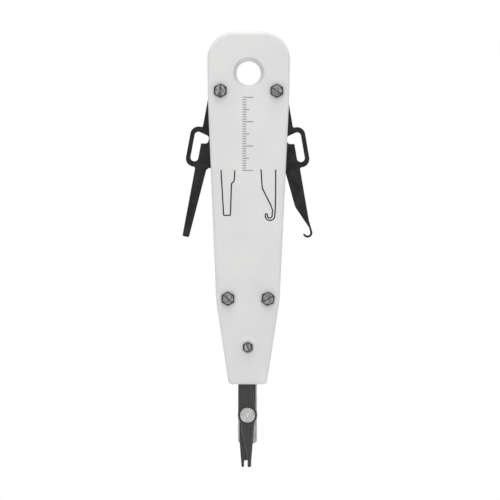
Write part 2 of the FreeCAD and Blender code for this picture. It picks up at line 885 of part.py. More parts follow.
os.makedirs("parts", exist_ok=True)
for name, shape in all_parts().items():
    shape.exportStep(f"parts/{name}.step")
    print(f"{name:18s} solids {len(shape.Solids)} valid {shape.isValid()} volume {shape.Volume:9.1f}")
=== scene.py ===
import math
import bpy
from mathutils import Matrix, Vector


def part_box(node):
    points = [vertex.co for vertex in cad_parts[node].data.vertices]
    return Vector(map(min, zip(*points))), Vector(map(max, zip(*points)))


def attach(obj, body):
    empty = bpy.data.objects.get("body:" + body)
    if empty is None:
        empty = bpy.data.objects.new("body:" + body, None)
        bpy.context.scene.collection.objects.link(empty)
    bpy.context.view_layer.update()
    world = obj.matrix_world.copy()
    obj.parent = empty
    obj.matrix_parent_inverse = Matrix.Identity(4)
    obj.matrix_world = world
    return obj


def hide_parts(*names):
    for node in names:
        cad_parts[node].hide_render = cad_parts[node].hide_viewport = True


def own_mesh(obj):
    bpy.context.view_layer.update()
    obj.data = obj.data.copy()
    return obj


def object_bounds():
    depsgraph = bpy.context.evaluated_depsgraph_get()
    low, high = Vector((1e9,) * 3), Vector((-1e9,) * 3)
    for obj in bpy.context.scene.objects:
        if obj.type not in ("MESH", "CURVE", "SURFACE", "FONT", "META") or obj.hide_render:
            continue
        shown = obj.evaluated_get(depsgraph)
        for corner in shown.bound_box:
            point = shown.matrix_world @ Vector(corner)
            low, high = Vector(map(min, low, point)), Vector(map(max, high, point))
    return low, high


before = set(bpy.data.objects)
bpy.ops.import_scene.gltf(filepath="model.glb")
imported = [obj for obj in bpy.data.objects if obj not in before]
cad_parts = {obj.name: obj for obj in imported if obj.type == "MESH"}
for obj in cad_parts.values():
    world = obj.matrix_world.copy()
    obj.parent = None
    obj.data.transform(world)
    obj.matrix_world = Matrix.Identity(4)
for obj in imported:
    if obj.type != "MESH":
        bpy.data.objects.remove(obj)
cad_low, cad_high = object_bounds()

# ------------------------------------------------------------------ handle shells
# Two half shells injection moulded in pale grey ABS and bolted together face to face. The mould
# was finely spark eroded, so the skin is satin with a faint grain and no gloss.
MM = 0.001
ABS_GREY = "DCDCDB"
ABS_CLOUD = "D7D7D7"
ABS_IOR = 1.53
ABS_GLOSS = (0.38, 0.5)
ABS_RELIEF = 0.005
MELT_CLOUD = 16.0
SPARK_GRAIN = 0.7       # coarser than the usual 0.1 mm, so that it still shows
CLOUD_EDGES = (0.35, 0.65)
GRAIN_EDGES = (0.3, 0.7)
NOISE_DETAIL = 3.0


def linear(hex_colour):
    """An sRGB hex colour as linear red, green, blue and alpha."""
    channels = []
    for i in (0, 2, 4):
        c = int(hex_colour[i:i + 2], 16) / 255
        channels.append(c / 12.92 if c <= 0.04045 else ((c + 0.055) / 1.055) ** 2.4)
    return (*channels, 1.0)


def add(tree, kind, settings=None, links=None):
    """Adds a node. Settings are its properties or unlinked sockets, links its linked sockets."""
    made = tree.nodes.new(kind)
    for key, value in (settings or {}).items():
        if isinstance(key, str) and hasattr(made, key):
            setattr(made, key, value)
        else:
            made.inputs[key].default_value = value
    for key, source in (links or {}).items():
        sources = source if isinstance(source, (list, tuple)) else [source]
        for one in sources:
            tree.links.new(one, made.inputs[key])
    return made


def finish(name, settings, tones, cloud, grain, gloss, depth):
    """A material in two soft-edged tones, with a fine grain in its gloss and its relief.

    tones are hex colours, cloud and grain are feature sizes along X, Y and Z and depth the relief's,
    in millimetres, and gloss is the lowest and highest roughness.
    """
    made = bpy.data.materials.new(name)
    made.use_nodes = True
    tree = made.node_tree
    tree.nodes.clear()
    shader = add(tree, "ShaderNodeBsdfPrincipled", settings)
    add(tree, "ShaderNodeOutputMaterial", None, {"Surface": shader.outputs[0]})
    place = add(tree, "ShaderNodeTexCoord").outputs
    patterns = []
    for size in (cloud, grain):
        scale = tuple(1 / (side * MM) for side in size)
        laid = add(tree, "ShaderNodeMapping", {"Scale": scale}, {"Vector": place["Object"]})
        noise = add(tree, "ShaderNodeTexNoise", {"Scale": 1.0, "Detail": NOISE_DETAIL},
                    {"Vector": laid.outputs[0]})
        patterns.append(noise.outputs[0])
    share = add(tree, "ShaderNodeMapRange", {1: CLOUD_EDGES[0], 2: CLOUD_EDGES[1]}, {0: patterns[0]})
    mixed = {"data_type": "RGBA", 6: linear(tones[0]), 7: linear(tones[1])}
    tone = add(tree, "ShaderNodeMix", mixed, {0: share.outputs[0]})
    spread = {1: GRAIN_EDGES[0], 2: GRAIN_EDGES[1], 3: gloss[0], 4: gloss[1]}
    rough = add(tree, "ShaderNodeMapRange", spread, {0: patterns[1]})
    bump = add(tree, "ShaderNodeBump", {"Strength": 1.0, "Distance": depth * MM}, {"Height": patterns[1]})
    tree.links.new(tone.outputs[2], shader.inputs["Base Color"])
    tree.links.new(rough.outputs[0], shader.inputs["Roughness"])
    tree.links.new(bump.outputs[0], shader.inputs["Normal"])
    return made


def recolour(material, share, hex_colour):
    """Lays a plain colour over a material's own tone where the share of a mask is high."""
    tree = material.node_tree
    base = next(node for node in tree.nodes if node.type == "BSDF_PRINCIPLED").inputs["Base Color"]
    under = base.links[0].from_socket
    over = add(tree, "ShaderNodeMix", {"data_type": "RGBA", 7: linear(hex_colour)}, {0: share, 6: under})
    tree.links.new(over.outputs[2], base)


def wear(material, *nodes):
    """Gives carried-over CAD nodes their finished material."""
    for node in nodes:
        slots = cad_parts[node].data.materials
        slots.clear()
        slots.append(material)


# Spark-eroded ABS: an even, milky grey with soft highlights and no mirror reflection.
moulded_satin_abs = finish(
    "moulded_satin_abs", {"IOR": ABS_IOR}, (ABS_GREY, ABS_CLOUD),
    (MELT_CLOUD,) * 3, (SPARK_GRAIN,) * 3, ABS_GLOSS, ABS_RELIEF)
wear(moulded_satin_abs, "front_shell", "rear_shell")

# ------------------------------------------------------------------ tool outlines printed on the front
# Pad-printed ink on the front shell: beside each fold-out tool, the outline of its working end.
# The ink is a thin matt film, laid by a soft pad, so its cover is a little uneven.
OUTLINE_INK = "151516"
OUTLINE_INK_THIN = "2C2C2E"
OUTLINE_WIDTH = 0.55
OUTLINE_CORNER = 0.3
CORNER_STEPS = 4
INK_FILM = 0.03
INK_IOR = 1.48
INK_CLOUD = 0.9
INK_GRAIN = 0.6         # coarser than the pad's own speckle, so that it still shows
INK_GLOSS = (0.55, 0.7)
INK_RELIEF = 0.004
front_face = -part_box("rear_shell")[1][1]


def size_tree(name, sizes):
    """A geometry tree with a named input for each size, and its group input's sockets."""
    tree = bpy.data.node_groups.new(name, "GeometryNodeTree")
    tree.interface.new_socket("Geometry", in_out="INPUT", socket_type="NodeSocketGeometry")
    for size in sizes:
        tree.interface.new_socket(size, in_out="INPUT", socket_type="NodeSocketFloat")
    tree.interface.new_socket("Material", in_out="INPUT", socket_type="NodeSocketMaterial")
    tree.interface.new_socket("Geometry", in_out="OUTPUT", socket_type="NodeSocketGeometry")
    return tree, add(tree, "NodeGroupInput").outputs


def finish_tree(tree, given, result):
    """Ends a geometry tree in real geometry that wears the given material."""
    whole = add(tree, "GeometryNodeRealizeInstances", None, {0: result})
    worn = add(tree, "GeometryNodeSetMaterial", None, {0: whole.outputs[0], "Material": given["Material"]})
    add(tree, "NodeGroupOutput", None, {0: worn.outputs[0]})


def grow(name, tree, start, values):
    """Runs a geometry tree on a starting mesh and keeps the result as a plain mesh object."""
    made = bpy.data.objects.new(name, start)
    bpy.context.scene.collection.objects.link(made)
    maker = made.modifiers.new("maker", "NODES")
    maker.node_group = tree
    for item in tree.interface.items_tree:
        if item.in_out == "INPUT" and item.name in values:
            maker[item.identifier] = values[item.name]
    settled = bpy.context.evaluated_depsgraph_get()
    mesh = bpy.data.meshes.new_from_object(made.evaluated_get(settled), depsgraph=settled)
    made.modifiers.clear()
    made.data = mesh
    mesh.name = name
    return made


def ink_line_tree():
    """Lays a flat ribbon along a path drawn on the ground plane, then stands it on the front face."""
    tree, given = size_tree("ink_line", ("Line Width", "Ink Thickness", "Corner Radius", "Front Face"))
    path = add(tree, "GeometryNodeMeshToCurve", None, {0: given["Geometry"]})
    eased = add(tree, "GeometryNodeFilletCurve",
                {"mode": "POLY", "Count": CORNER_STEPS, "Limit Radius": True},
                {"Curve": path.outputs[0], "Radius": given["Corner Radius"]})
    level = add(tree, "GeometryNodeSetCurveNormal", {"mode": "Z_UP"}, {0: eased.outputs[0]})
    section = add(tree, "GeometryNodeCurvePrimitiveQuadrilateral", None,
                  {"Width": given["Line Width"], "Height": given["Ink Thickness"]})
    ribbon = add(tree, "GeometryNodeCurveToMesh", {"Fill Caps": True},
                 {"Curve": level.outputs[0], "Profile Curve": section.outputs[0]})
    seat = add(tree, "ShaderNodeCombineXYZ", None, {"Y": given["Front Face"]})
    stood = add(tree, "GeometryNodeTransform", {"Rotation": (math.radians(90), 0, 0)},
                {"Geometry": ribbon.outputs[0], "Translation": seat.outputs[0]})
    finish_tree(tree, given, stood.outputs[0])
    return tree


def path_mesh(name, points):
    """A bare path through points (x, z) in millimetres, drawn on the ground plane."""
    mesh = bpy.data.meshes.new(name)
    corners = [(x * MM, z * MM, 0) for x, z in points]
    mesh.from_pydata(corners, [(i, i + 1) for i in range(len(points) - 1)], [])
    return mesh


def arc(cx, cz, r, start, stop, steps):
    """Points on an arc, in degrees from +X towards +Z."""
    turns = [math.radians(start + (stop - start) * i / steps) for i in range(steps + 1)]
    return [(cx + r * math.cos(a), cz + r * math.sin(a)) for a in turns]


def pad_ink(name, tones):
    """Matt pad-printed ink, slightly mottled where its film is thin."""
    return finish(
        name, {"IOR": INK_IOR}, tones, (INK_CLOUD,) * 3, (INK_GRAIN,) * 3, INK_GLOSS, INK_RELIEF)


# Black ink: nearly dead black with no shine, a touch greyer where the pad laid less.
outline_ink = pad_ink("outline_pad_ink", (OUTLINE_INK, OUTLINE_INK_THIN))
ink_line = ink_line_tree()
ink_sizes = {
    "Line Width": OUTLINE_WIDTH * MM,
    "Ink Thickness": INK_FILM * MM,
    "Corner Radius": OUTLINE_CORNER * MM,
    "Front Face": front_face,
    "Material": outline_ink,
}
# Both outlines as (x, z) in millimetres from the middle of the hanging hole.
spudger_path = [(-11.2, -39.8), (-10.05, -58.4), (-7.3, -58.4), (-6.85, -45.3)]
spudger_path += [(-6.0, -44.7), (-5.7, -43.6), (-5.5, -40.0)]
hook_path = [(5.2, -39.5), (5.75, -47.2), (9.35, -54.4)]
hook_path += arc(8.15, -56.5, 1.85, 35, -20, 5)
hook_path += arc(8.85, -58.5, 0.98, 5, -175, 12)
hook_path += arc(7.46, -58.15, 0.42, 10, 195, 6)
hook_path += arc(8.95, -58.5, 1.95, 185, 350, 14)
hook_path += [(11.1, -56.0), (11.25, -49.2), (11.22, -39.6)]
for name, path in (("spudger_outline_print", spudger_path), ("hook_outline_print", hook_path)):
    outline = grow(name, ink_line, path_mesh(name, path), ink_sizes)
    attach(outline, "handle")

# ------------------------------------------------------------------ printed scale
# A plain scale in paler ink down the middle of the front shell, for measuring how much sheath to
# strip: a tick each millimetre, a longer one each fifth and the longest each tenth, no figures.
SCALE_INK = "868688"
SCALE_INK_THIN = "9E9EA0"
SCALE_LENGTH = 30
SCALE_STEP = 1.0
SCALE_TOP = -10.0
SCALE_LEFT = -2.4
TICK = 1.5
FIFTH_TICK = 2.7
TENTH_TICK = 4.4
TICK_WIDTH = 0.44


def scale_tree():
    """Ticks down the front face, longer at each fifth and each tenth."""
    tree, given = size_tree("printed_scale", (
        "Step", "Tick", "Fifth Tick", "Tenth Tick", "Line Width", "Ink Thickness", "Left", "Top",
        "Front Face"))
    down = add(tree, "ShaderNodeMath", {"operation": "MULTIPLY", 1: -1.0}, {0: given["Step"]})
    step = add(tree, "ShaderNodeCombineXYZ", None, {"Z": down.outputs[0]})
    start = add(tree, "ShaderNodeCombineXYZ", None,
                {"X": given["Left"], "Y": given["Front Face"], "Z": given["Top"]})
    row = add(tree, "GeometryNodeMeshLine", {"Count": SCALE_LENGTH + 1},
              {"Start Location": start.outputs[0], "Offset": step.outputs[0]})
    index = add(tree, "GeometryNodeInputIndex").outputs[0]
    long = given["Tick"]
    for every, longer in ((5, given["Fifth Tick"]), (10, given["Tenth Tick"])):
        left_over = add(tree, "ShaderNodeMath", {"operation": "MODULO", 1: float(every)}, {0: index})
        falls = add(tree, "ShaderNodeMath", {"operation": "LESS_THAN", 1: 0.5}, {0: left_over.outputs[0]})
        long = add(tree, "ShaderNodeMix", None, {0: falls.outputs[0], 2: long, 3: longer}).outputs[0]
    size = add(tree, "ShaderNodeCombineXYZ", None,
               {"X": long, "Y": given["Ink Thickness"], "Z": given["Line Width"]})
    unit = add(tree, "GeometryNodeMeshCube", {"Size": (1, 1, 1)})
    from_left = add(tree, "GeometryNodeTransform", {"Translation": (0.5, 0, 0)}, {0: unit.outputs[0]})
    ticks = add(tree, "GeometryNodeInstanceOnPoints", None,
                {"Points": row.outputs[0], "Instance": from_left.outputs[0], "Scale": size.outputs[0]})
    finish_tree(tree, given, ticks.outputs[0])
    return tree


# Grey ink: as matt as the outlines' but mid grey, so the ticks stay quieter than they do.
scale_ink = pad_ink("scale_pad_ink", (SCALE_INK, SCALE_INK_THIN))
scale = grow("strip_scale_print", scale_tree(), bpy.data.meshes.new("scale_start"), {
    "Step": SCALE_STEP * MM,
    "Tick": TICK * MM,
    "Fifth Tick": FIFTH_TICK * MM,
    "Tenth Tick": TENTH_TICK * MM,
    "Line Width": TICK_WIDTH * MM,
    "Ink Thickness": INK_FILM * MM,
    "Left": SCALE_LEFT * MM,
    "Top": SCALE_TOP * MM,
    "Front Face": front_face,
    "Material": scale_ink,
})
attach(scale, "handle")

# ------------------------------------------------------------------ fold-out tools
# Spudger and wire hook, blanked from 1.6 mm spring steel, tumbled, then blackened by phosphating.
# The coat is a charcoal satin, with a painted highlight along the tumbled, bevelled edges.
PHOSPHATE = "080809"
PHOSPHATE_PALE = "232324"
# Painted highlight laid on the bevels, standing in for the light that they catch.
PHOSPHATE_BEVEL_HIGHLIGHT = "3E3E3F"
PHOSPHATE_IOR = 1.36
PHOSPHATE_GLOSS = (0.4, 0.58)
PHOSPHATE_RELIEF = 0.01
CRYSTAL_CLOUD = 3.0
CRYSTAL_GRAIN = 0.5     # much coarser than the real crystals, so that it still shows
FACE_FADE = (0.97, 0.9)
SIDE_FADE = (0.1, 0.3)


def paint_bevel_highlight(material, hex_colour):
    """Paints a highlight on the bevels of a plate that lies across Y, and not on its flat faces or square
    sides.
    """
    tree = material.node_tree
    place = add(tree, "ShaderNodeTexCoord").outputs
    facing = add(tree, "ShaderNodeSeparateXYZ", None, {0: place["Normal"]})
    size = add(tree, "ShaderNodeMath", {"operation": "ABSOLUTE"}, {0: facing.outputs["Y"]})
    off_face = add(tree, "ShaderNodeMapRange", {1: FACE_FADE[0], 2: FACE_FADE[1]}, {0: size.outputs[0]})
    off_side = add(tree, "ShaderNodeMapRange", {1: SIDE_FADE[0], 2: SIDE_FADE[1]}, {0: size.outputs[0]})
    bevel = add(tree, "ShaderNodeMath", {"operation": "MULTIPLY"},
                {0: off_face.outputs[0], 1: off_side.outputs[0]})
    recolour(material, bevel.outputs[0], hex_colour)


# Phosphated steel: a mottled charcoal with a dull sheen, and a painted highlight along its bevels.
phosphated_steel = finish(
    "phosphated_spring_steel", {"IOR": PHOSPHATE_IOR}, (PHOSPHATE, PHOSPHATE_PALE),
    (CRYSTAL_CLOUD,) * 3, (CRYSTAL_GRAIN,) * 3, PHOSPHATE_GLOSS, PHOSPHATE_RELIEF)
paint_bevel_highlight(phosphated_steel, PHOSPHATE_BEVEL_HIGHLIGHT)
wear(phosphated_steel, "spudger_arm", "hook_arm")

# ------------------------------------------------------------------ pivots of the fold-out tools
# Each tool turns on a turned steel sleeve between two nylon washers, clamped by a pivot bolt.
# The nylon is milky and slightly waxy; the sleeve is bright from the lathe.
NYLON = "E8E4D8"
NYLON_WAXY = "DDD8CA"
LATHE_STEEL = "A9A9A8"
LATHE_STEEL_DULL = "8F8F8E"
NYLON_BODY = {"IOR": 1.53, "Subsurface Weight": 0.2, "Subsurface Radius": (0.0008, 0.0007, 0.0006)}
NYLON_CLOUD = (1.2, 1.2, 1.2)
TURNED_RINGS = (3.2, 0.3, 3.2)      # wider apart than a lathe's real feed, so that they show
# Natural nylon: milky white, lit a little from within, with a waxy gloss.
natural_nylon = finish(
    "natural_nylon", NYLON_BODY, (NYLON, NYLON_WAXY), NYLON_CLOUD, NYLON_CLOUD, (0.4, 0.55), 0.004)
wear(natural_nylon, "arm_washers")
# Turned steel: silver, with rings of lighter and darker gloss round its axis.
turned_steel = finish(
    "turned_bright_steel", {"Metallic": 1.0}, (LATHE_STEEL, LATHE_STEEL_DULL),
    TURNED_RINGS, TURNED_RINGS, (0.25, 0.4), 0.004)
wear(turned_steel, "arm_sleeves", "cam_bush")

# ------------------------------------------------------------------ slotted hexagon bolts and their nuts
# Five zinc-plated steel bolts hold the shells, with cold formed heads turned down to a round face
# and slotted. Spanners and drivers have scored the faces; flanks, chamfers and slot floors are
# darkened by painted shade.
BOLT_FLATS = 5.2
BOLT_HEAD = 1.7
BOLT_SHANK_R = 1.5
SLOT_WIDE = 0.6
SLOT_DEEP = 0.4
CHAMFER = 0.42
NOSE_FLATS = 4.0
NOSE_HEAD = 1.4
NOSE_SHANK_R = 1.25
ROUND_SIDES = 48
FACE_STEEL = "B2B2B0"
FACE_STEEL_DULL = "5C5C5B"
# Painted shade in the slot and on whatever lies below the bolt's face.
BOLT_SLOT_SHADE = "4E4E4E"
# Painted shade on every face of the bolt not turned to the front: flanks, chamfer and shank.
FLANK_PAINTED_SHADE = "444445"
ZINC = "A5A5A6"
ZINC_DULL = "7E7E80"
ZINC_CLOUD = (0.9, 0.9, 0.9)
SCORE_CLOUD = (0.5, 0.8, 1.3)
SCORE_GRAIN = (0.5, 0.5, 1.3)
BOLT_SLOT_SHADE_FADE = (0.1, 0.3)
BOLT_SLOT_SHADE_SHARE = 0.8
FLANK_SHADE_FADE = (-0.97, -0.9)
# Each bolt's side of the handle, then its head's and its slot's turn in degrees.
PIVOT_BOLT_TURNS = ((-1, 0, 4), (1, 0, 120))
WAIST_BOLT_TURNS = ((-1, 0, 132), (1, 8, 59))
NOSE_BOLT_TURNS = ((0, 0, 158),)


def hex_bolt_tree():
    """A hexagon bolt on each point: its head outwards along -Y, turned as the point says."""
    tree, given = size_tree("slotted_hex_bolts", (
        "Corner Radius", "Face Radius", "Base Radius", "Head Height", "Slot Width", "Slot Length",
        "Slot Depth", "Shank Radius", "Shank Length"))

    def lifted(shape, lift):
        """The shape, moved along the bolt's axis."""
        way = add(tree, "ShaderNodeCombineXYZ", None, {"Z": lift})
        return add(tree, "GeometryNodeTransform", None, {0: shape, 1: way.outputs[0]}).outputs[0]

    def placed(shape, attribute):
        """The shape, set on each point with the turn that the point holds."""
        turn = add(tree, "GeometryNodeInputNamedAttribute", {"data_type": "FLOAT", "Name": attribute})
        euler = add(tree, "ShaderNodeCombineXYZ", {"X": math.radians(90)}, {"Y": turn.outputs[0]})
        rotation = add(tree, "FunctionNodeEulerToRotation", None, {0: euler.outputs[0]})
        links = {"Points": given["Geometry"], "Instance": shape, "Rotation": rotation.outputs[0]}
        many = add(tree, "GeometryNodeInstanceOnPoints", None, links)
        return add(tree, "GeometryNodeRealizeInstances", None, {0: many.outputs[0]}).outputs[0]

    flat = add(tree, "GeometryNodeMeshCylinder", {"Vertices": 6, "fill_type": "NGON"},
               {"Radius": given["Corner Radius"], "Depth": given["Head Height"]})
    half_head = add(tree, "ShaderNodeMath", {"operation": "MULTIPLY", 1: 0.5}, {0: given["Head Height"]})
    up = add(tree, "ShaderNodeCombineXYZ", None, {"Z": half_head.outputs[0]})
    prism = add(tree, "GeometryNodeTransform", {"Rotation": (0, 0, math.radians(30))},
                {0: flat.outputs[0], 1: up.outputs[0]})
    cone = add(tree, "GeometryNodeMeshCone", {"Vertices": ROUND_SIDES, "fill_type": "NGON"}, {
        "Radius Top": given["Face Radius"], "Radius Bottom": given["Base Radius"],
        "Depth": given["Head Height"]})
    head = add(tree, "GeometryNodeMeshBoolean", {"operation": "INTERSECT", "solver": "EXACT"},
               {1: [prism.outputs[0], cone.outputs[0]]})
    heads = placed(head.outputs[0], "head_turn")
    slot_tall = add(tree, "ShaderNodeMath", {"operation": "MULTIPLY", 1: 2.0}, {0: given["Slot Depth"]})
    slot_size = add(tree, "ShaderNodeCombineXYZ", None,
                    {"X": given["Slot Width"], "Y": given["Slot Length"], "Z": slot_tall.outputs[0]})
    slot = add(tree, "GeometryNodeMeshCube", None, {"Size": slot_size.outputs[0]})
    slots = placed(lifted(slot.outputs[0], given["Head Height"]), "slot_turn")
    slotted = add(tree, "GeometryNodeMeshBoolean", {"operation": "DIFFERENCE", "solver": "EXACT"},
                  {0: heads, 1: slots})
    shank = add(tree, "GeometryNodeMeshCylinder", {"Vertices": ROUND_SIDES, "fill_type": "NGON"},
                {"Radius": given["Shank Radius"], "Depth": given["Shank Length"]})
    sink = add(tree, "ShaderNodeMath", {"operation": "MULTIPLY", 1: -0.5}, {0: given["Shank Length"]})
    shanks = placed(lifted(shank.outputs[0], sink.outputs[0]), "head_turn")
    both = add(tree, "GeometryNodeJoinGeometry", None, {0: [slotted.outputs[0], shanks]})
    finish_tree(tree, given, both.outputs[0])
    return tree


def plated_bolt_steel(name, face_y):
    """Zinc-plated steel whose outer face is scored and patchy, with painted shade on its flanks, chamfer and
    slot floor.
    """
    made = finish(
        name, {"Metallic": 1.0}, (FACE_STEEL_DULL, FACE_STEEL), SCORE_CLOUD, SCORE_GRAIN, (0.32, 0.52), 0.03)
    tree = made.node_tree
    place = add(tree, "ShaderNodeTexCoord").outputs
    depth = add(tree, "ShaderNodeSeparateXYZ", None, {0: place["Object"]})
    facing = add(tree, "ShaderNodeSeparateXYZ", None, {0: place["Normal"]})
    # Painted shade deeper than the face, standing in for the shade inside the slot.
    below = {1: face_y + BOLT_SLOT_SHADE_FADE[0] * MM, 2: face_y + BOLT_SLOT_SHADE_FADE[1] * MM, 4: BOLT_SLOT_SHADE_SHARE}
    slot_shade_share = add(tree, "ShaderNodeMapRange", below, {0: depth.outputs["Y"]})
    recolour(made, slot_shade_share.outputs[0], BOLT_SLOT_SHADE)
    # Painted shade on the flanks and chamfer, where they turn away from the front.
    flank_shade_share = add(tree, "ShaderNodeMapRange", {1: FLANK_SHADE_FADE[0], 2: FLANK_SHADE_FADE[1]}, {0: facing.outputs["Y"]})
    recolour(made, flank_shade_share.outputs[0], FLANK_PAINTED_SHADE)
    return made


def bolt_points(name, places):
    """A bare point for each bolt (x, y, z in metres), with its head's and its slot's turn in degrees."""
    mesh = bpy.data.meshes.new(name)
    mesh.from_pydata([place for place, _, _ in places], [], [])
    head_turn = mesh.attributes.new("head_turn", "FLOAT", "POINT")
    slot_turn = mesh.attributes.new("slot_turn", "FLOAT", "POINT")
    for i, (_, head, slot) in enumerate(places):
        head_turn.data[i].value = math.radians(head)
        slot_turn.data[i].value = math.radians(slot)
    return mesh


def bolts(name, node, across, head, shank_r, seat_y, turns):
    """Makes the bolts that stand for one CAD node, one for each (side, head turn, slot turn)."""
    low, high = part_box(node)
    reach = -low[0] - across / 2 * MM
    level = (low[2] + high[2]) / 2
    places = [((side * reach, seat_y, level), head_turn, slot_turn) for side, head_turn, slot_turn in turns]
    made = grow(name, hex_bolts, bolt_points(name, places), {
        "Corner Radius": across / math.sqrt(3) * MM,
        "Face Radius": (across / 2 - CHAMFER) * MM,
        "Base Radius": (across / 2 - CHAMFER + head) * MM,
        "Head Height": head * MM,
        "Slot Width": SLOT_WIDE * MM,
        "Slot Length": 2 * across * MM,
        "Slot Depth": SLOT_DEEP * MM,
        "Shank Radius": shank_r * MM,
        "Shank Length": high[1] - seat_y,
        "Material": plated_bolt_steel(name + "_steel", low[1]),
    })
    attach(made, "handle")
    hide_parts(node)


hex_bolts = hex_bolt_tree()
pad_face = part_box("nose_bolt")[0][1] + NOSE_HEAD * MM
case_size = (BOLT_FLATS, BOLT_HEAD, BOLT_SHANK_R, front_face)
nose_size = (NOSE_FLATS, NOSE_HEAD, NOSE_SHANK_R, pad_face)
bolts("pivot_bolts", "arm_pivot_bolts", *case_size, PIVOT_BOLT_TURNS)
bolts("waist_bolts", "case_bolts", *case_size, WAIST_BOLT_TURNS)
bolts("nose_hex_bolt", "nose_bolt", *nose_size, NOSE_BOLT_TURNS)
# Zinc-plated nuts: a cool mid grey with a soft gloss and a faint mottling.
zinc_nut_steel = finish(
    "zinc_plated_nut_steel", {"Metallic": 1.0}, (ZINC, ZINC_DULL), ZINC_CLOUD, ZINC_CLOUD,
    (0.32, 0.5), 0.004)
wear(zinc_nut_steel, "arm_pivot_nuts", "case_nuts", "nose_nut", "blade_pivot_nut")

# ------------------------------------------------------------------ head carrier
# A channel folded from 1 mm steel strip and nickel plated, that slides in the handle's nose and
# holds both blades. The plating is a soft silver, streaked lengthways by the strip's rolling.
NICKEL = "C4C4C4"
NICKEL_DULL = "A0A0A0"
ROLLING_STREAKS = (0.6, 0.6, 8)     # broader than real rolling lines, so that they show
# Nickel plate on rolled strip: soft silver, streaked lengthways.
nickel_steel = finish(
    "nickel_plated_strip", {"Metallic": 1.0}, (NICKEL, NICKEL_DULL), ROLLING_STREAKS, ROLLING_STREAKS,
    (0.26, 0.4), 0.004)
wear(nickel_steel, "head_carrier")

# ------------------------------------------------------------------ scissor blades
# Fork blade and cutter, ground from 1.4 mm tool steel, hardened and black oxided. Oil keeps the
# coat a deep grey; grinding lines run lengthways and the bevelled edges carry a painted highlight.
OXIDE = "252526"
OXIDE_PALE = "343435"
# Painted highlight on the blades' bevels, standing in for the light that they catch.
OXIDE_BEVEL_HIGHLIGHT = "6A6A6A"
OXIDE_IOR = 1.55
GRINDING_STREAKS = (0.8, 0.8, 8)
GRINDING_LINES = (0.25, 0.25, 2.5)  # coarser than a wheel's real scratches, so that they show
# Black oxide on ground steel: deep grey with lengthways lines, a low sheen and a painted highlight on the
# bevels.
oxided_steel = finish(
    "oxided_tool_steel", {"IOR": OXIDE_IOR}, (OXIDE, OXIDE_PALE), GRINDING_STREAKS, GRINDING_LINES,
    (0.38, 0.56), 0.008)
paint_bevel_highlight(oxided_steel, OXIDE_BEVEL_HIGHLIGHT)
wear(oxided_steel, "fork_blade", "cutter_blade")

# ------------------------------------------------------------------ blade pivot
# A slotted cheese-head screw turned from bright steel, on a washer, with a nut behind, and a rivet
# that pins the fork blade. The head is bright and patchy from screwdrivers, with a painted highlight
# at its rim and slot floor and painted shade down its slot walls.
SCREW_STEEL = "EDEDEB"
SCREW_STEEL_DULL = "B4B4B2"
SCREW_DIMMED_FACE = "A6A6A4"
WASHER_ZINC = "F2F2F0"
WASHER_ZINC_DULL = "D2D2D0"
SLOT_SHADE = "2C2C2C"
SCREW_CLOUD = (0.5, 0.7, 1.1)
SCREW_GRAIN = (0.4, 0.7, 0.8)
WASHER_CLOUD = (0.9, 0.9, 0.9)
WASHER_GRAIN = (0.6, 0.6, 0.6)
DIMMED_FACE_FADE = (0.1, 0.03)
DIMMED_FACE_SHARE = 0.6
WALL_FADE = (-0.2, -0.1)
# Turned screw: a patchy face painted duller, so that the rim and slot floor show as painted highlights, and
# painted shade down the walls of its slot.
screw_steel = finish(
    "turned_screw_steel", {"Metallic": 1.0}, (SCREW_STEEL, SCREW_STEEL_DULL),
    SCREW_CLOUD, SCREW_GRAIN, (0.24, 0.42), 0.02)
screw_tree = screw_steel.node_tree
screw_place = add(screw_tree, "ShaderNodeTexCoord").outputs
screw_depth = add(screw_tree, "ShaderNodeSeparateXYZ", None, {0: screw_place["Object"]})
screw_facing = add(screw_tree, "ShaderNodeSeparateXYZ", None, {0: screw_place["Normal"]})
screw_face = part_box("blade_pivot_screw")[0][1]
# The flat outer face is painted darker, so that the rounded rim and the slot floor stand as painted
# highlights.
dimmed_face_share = add(
    screw_tree, "ShaderNodeMapRange",
    {1: screw_face + DIMMED_FACE_FADE[0] * MM, 2: screw_face + DIMMED_FACE_FADE[1] * MM, 4: DIMMED_FACE_SHARE},
    {0: screw_depth.outputs["Y"]})
recolour(screw_steel, dimmed_face_share.outputs[0], SCREW_DIMMED_FACE)
# Painted shade down the walls of the slot.
on_wall = add(
    screw_tree, "ShaderNodeMapRange", {1: WALL_FADE[0], 2: WALL_FADE[1]},
    {0: screw_facing.outputs["Y"]})
recolour(screw_steel, on_wall.outputs[0], SLOT_SHADE)
wear(screw_steel, "blade_pivot_screw", "blade_rivet")
# Zinc-plated washer: near white, smoother and brighter than the nuts.
washer_steel = finish(
    "zinc_plated_washer_steel", {"Metallic": 1.0}, (WASHER_ZINC, WASHER_ZINC_DULL),
    WASHER_CLOUD, WASHER_GRAIN, (0.24, 0.36), 0.004)
wear(washer_steel, "blade_washer")

# ------------------------------------------------------------------ spring set inside the handle
# A guide rod riveted to the carrier, a seat, the stop plate that the shells hold, a ring clip and
# a compression spring coiled from oil-tempered wire, with both end coils closed.
SPRING_WIRE = 0.9
SPRING_TURNS = 12.0
CLOSED_TURNS = 1.0
SPRING_STEEL = "4A4C52"
SPRING_STEEL_WARM = "5C574F"
ROD_STEEL = "B0B0AE"
ROD_STEEL_DULL = "949492"
PLATE_STEEL = "A6A6A5"
PLATE_STEEL_DULL = "858584"
SPIRAL_STEPS = 36
WIRE_SIDES = 12
WIRE_CLOUD = (2.5, 2.5, 2.5)
DRAWN_STREAKS = (0.8, 0.8, 6)       # broader than real drawing lines, so that they show
PLATE_STREAKS = (4.8, 1.2, 1.2)


